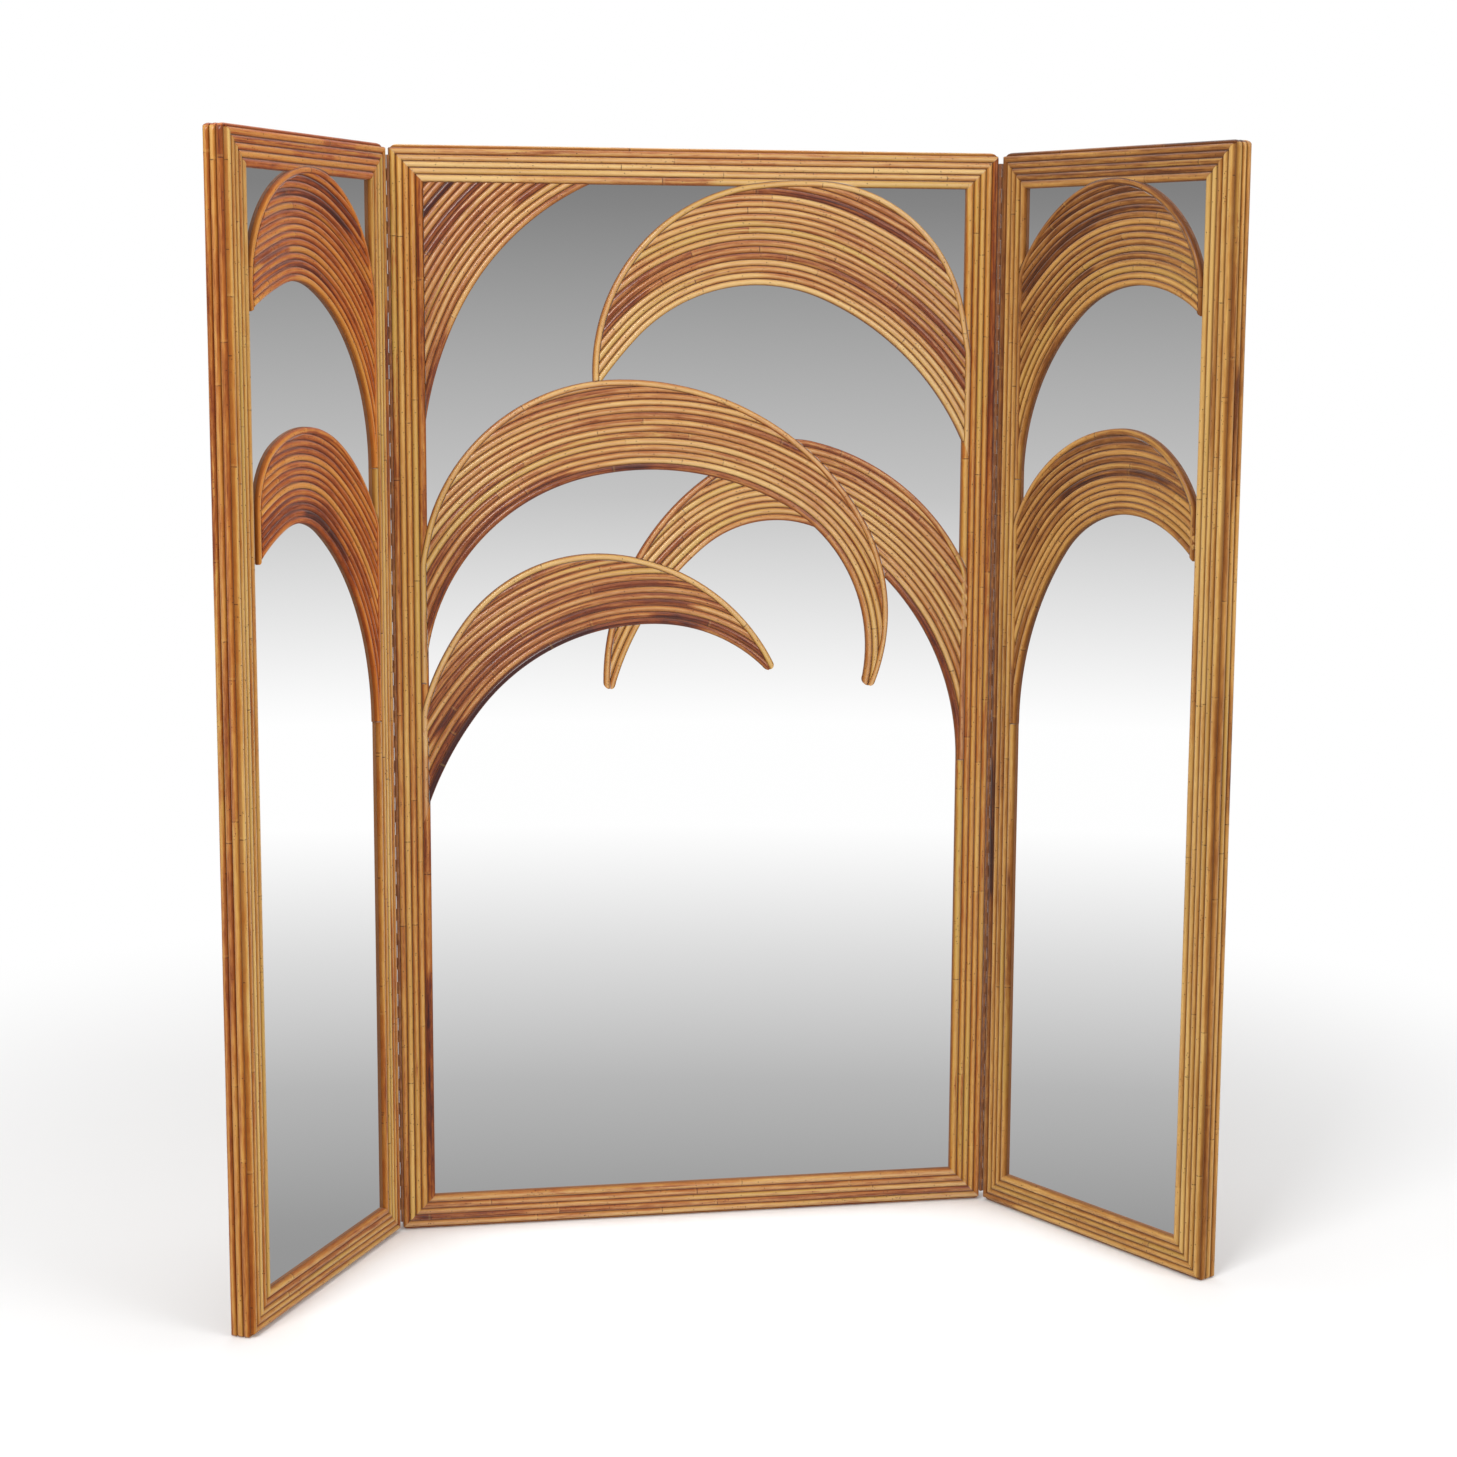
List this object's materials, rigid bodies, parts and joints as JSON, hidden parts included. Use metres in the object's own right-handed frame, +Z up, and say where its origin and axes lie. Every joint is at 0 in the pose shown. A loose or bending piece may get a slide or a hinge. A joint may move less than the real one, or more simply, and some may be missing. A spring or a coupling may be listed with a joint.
{
  "type": "folding mirror screen",
  "caption": "Folding mirror screen: cane-clad timber frames joined by long hinges, each holding a mirror behind crescent palm leaves of bent rattan cane.",
  "frame": {"origin": "on the floor under the middle of the centre panel, at half the depth of its timber", "axes": "+Z up, the mirrors of the centre panel face -Y, +X to the viewer's right"},
  "size_m": [1.5588, 0.4732, 1.8],
  "materials": {
    "rattan": "glossy clear varnish over honey to red-brown rattan cane",
    "timber": "plain sawn softwood, stained",
    "plywood": "stained plywood edge",
    "mirror_glass": "silvered clear glass",
    "hardboard": "smooth brown hardboard",
    "steel": "zinc-plated steel",
    "brass": "tarnished brass"
  },
  "bodies": {
    "centre": {"broad_leaf_backing": "plywood", "broad_leaf_canes": "rattan", "centre_back_board": "hardboard", "centre_back_screws": "steel", "centre_bottom_rail": "timber", "centre_bottom_rail_canes": "rattan", "centre_hinge_screws": "brass", "centre_left_stile": "timber", "centre_left_stile_canes": "rattan", "centre_mirror": "mirror_glass", "centre_right_stile": "timber", "centre_right_stile_canes": "rattan", "centre_top_rail": "timber", "centre_top_rail_canes": "rattan", "corner_fan_backing": "plywood", "corner_fan_canes": "rattan", "far_leaf_backing": "plywood", "far_leaf_canes": "rattan", "high_leaf_backing": "plywood", "high_leaf_canes": "rattan", "left_hinge_fixed_leaf": "brass", "left_hinge_pin": "brass", "low_leaf_backing": "plywood", "low_leaf_canes": "rattan", "right_hinge_fixed_leaf": "brass", "right_hinge_pin": "brass"},
    "left_wing": {"left_back_board": "hardboard", "left_back_screws": "steel", "left_bottom_rail": "timber", "left_bottom_rail_canes": "rattan", "left_hinge_moving_leaf": "brass", "left_hinge_screws": "brass", "left_hinge_stile": "timber", "left_hinge_stile_canes": "rattan", "left_lower_leaf_backing": "plywood", "left_lower_leaf_canes": "rattan", "left_mirror": "mirror_glass", "left_outer_stile": "timber", "left_outer_stile_canes": "rattan", "left_top_rail": "timber", "left_top_rail_canes": "rattan", "left_upper_leaf_backing": "plywood", "left_upper_leaf_canes": "rattan"},
    "right_wing": {"right_back_board": "hardboard", "right_back_screws": "steel", "right_bottom_rail": "timber", "right_bottom_rail_canes": "rattan", "right_hinge_moving_leaf": "brass", "right_hinge_screws": "brass", "right_hinge_stile": "timber", "right_hinge_stile_canes": "rattan", "right_lower_leaf_backing": "plywood", "right_lower_leaf_canes": "rattan", "right_mirror": "mirror_glass", "right_outer_stile": "timber", "right_outer_stile_canes": "rattan", "right_top_rail": "timber", "right_top_rail_canes": "rattan", "right_upper_leaf_backing": "plywood", "right_upper_leaf_canes": "rattan"}
  },
  "joints": [
    {"name": "left_fold", "type": "hinge", "parent": "centre", "child": "left_wing", "pos_m": [-0.503, -0.0243, 0.9], "axis": [0, 0, 1], "range_deg": [-61, 119]},
    {"name": "right_fold", "type": "hinge", "parent": "centre", "child": "right_wing", "pos_m": [0.503, -0.0243, 0.9], "axis": [0, 0, -1], "range_deg": [-61, 119]}
  ]
}
